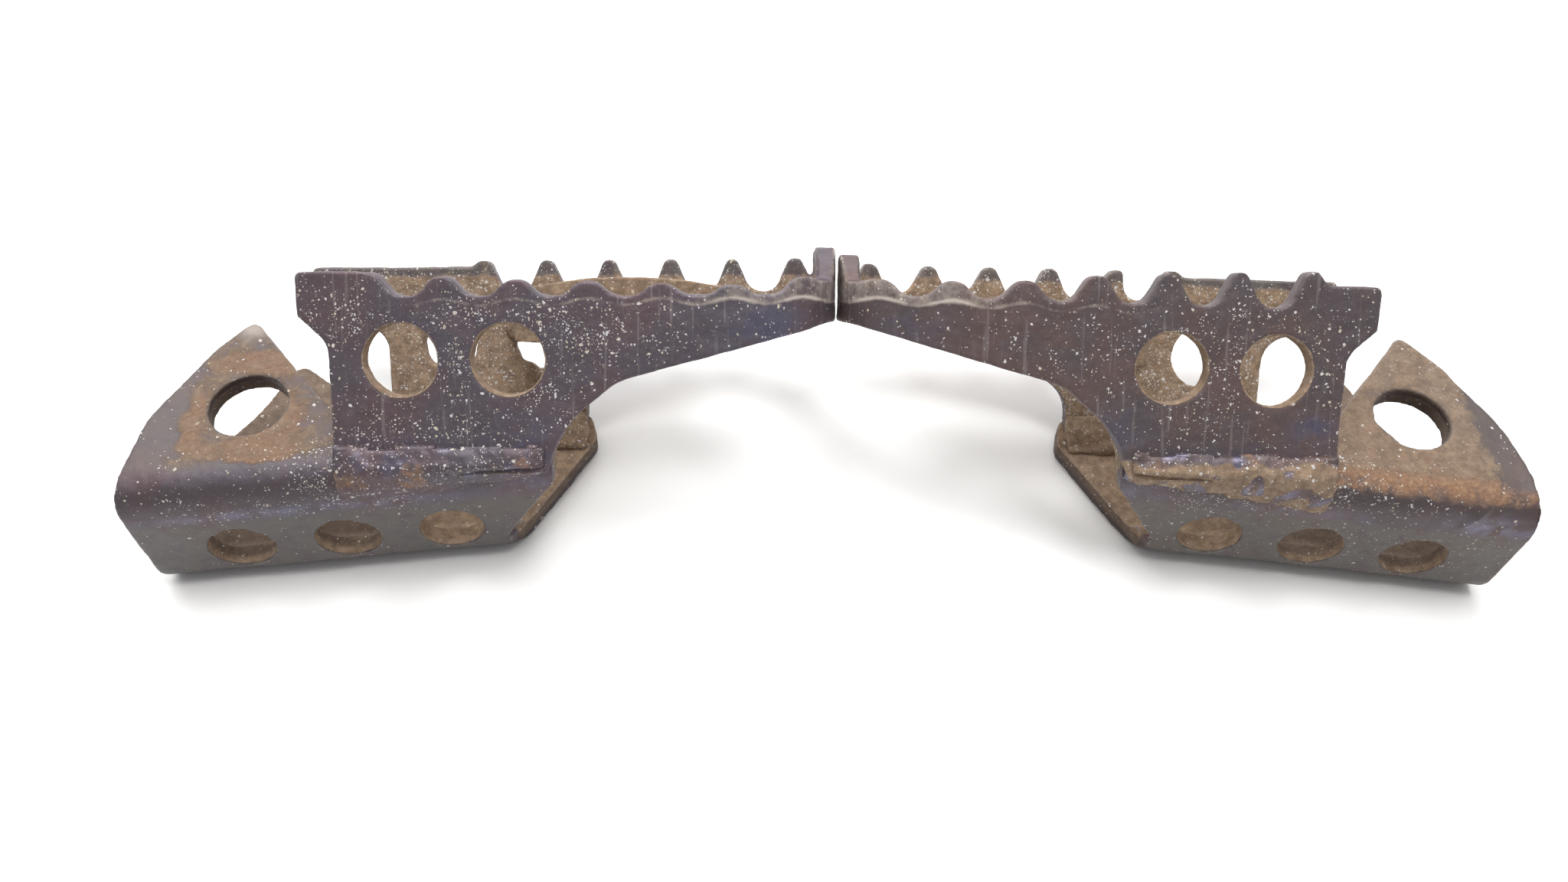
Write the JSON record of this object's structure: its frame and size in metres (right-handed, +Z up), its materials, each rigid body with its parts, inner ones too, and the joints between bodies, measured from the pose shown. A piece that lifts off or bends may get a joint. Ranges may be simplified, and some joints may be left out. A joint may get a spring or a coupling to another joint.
{
  "type": "motorcycle foot peg pair",
  "caption": "Mirror-image pair of off-road foot pegs: toothed steel hoops welded to folded, bored clevis brackets, laid tip to tip.",
  "frame": {"origin": "under the middle of the pair's bounding box, on the surface that the pegs lie on", "axes": "+X from the left peg to the right peg along their tips, +Y from the bracket webs towards the ear tips, +Z up, along the pivot bores"},
  "size_m": [0.2384, 0.0596, 0.0524],
  "materials": {
    "left_mount_bracket": "worn dark oxide with brown rust on the ears",
    "left_tread_hoop": "worn violet-brown oxide with pale chips",
    "left_centre_cleat": "rusty, with dried mud",
    "left_front_root_weld": "lumpy weld, rusty",
    "left_rear_root_weld": "lumpy weld under dried mud",
    "left_cleat_inboard_weld": "short weld bead",
    "left_cleat_outboard_weld": "short weld bead",
    "right_mount_bracket": "worn dark oxide with brown rust on the ears",
    "right_tread_hoop": "worn violet-brown oxide with pale chips",
    "right_centre_cleat": "rusty, with dried mud",
    "right_front_root_weld": "lumpy weld, rusty",
    "right_rear_root_weld": "lumpy weld under dried mud",
    "right_cleat_inboard_weld": "short weld bead",
    "right_cleat_outboard_weld": "short weld bead"
  },
  "bodies": {
    "left_peg": {"left_mount_bracket": "left_mount_bracket", "left_tread_hoop": "left_tread_hoop", "left_centre_cleat": "left_centre_cleat", "left_front_root_weld": "left_front_root_weld", "left_rear_root_weld": "left_rear_root_weld", "left_cleat_inboard_weld": "left_cleat_inboard_weld", "left_cleat_outboard_weld": "left_cleat_outboard_weld"},
    "right_peg": {"right_mount_bracket": "right_mount_bracket", "right_tread_hoop": "right_tread_hoop", "right_centre_cleat": "right_centre_cleat", "right_front_root_weld": "right_front_root_weld", "right_rear_root_weld": "right_rear_root_weld", "right_cleat_inboard_weld": "right_cleat_inboard_weld", "right_cleat_outboard_weld": "right_cleat_outboard_weld"}
  },
  "joints": [
    {"name": "right_peg_apart", "type": "slide", "parent": "left_peg", "child": "right_peg", "axis": [1, 0, 0], "range_m": [0, 0.15]}
  ]
}
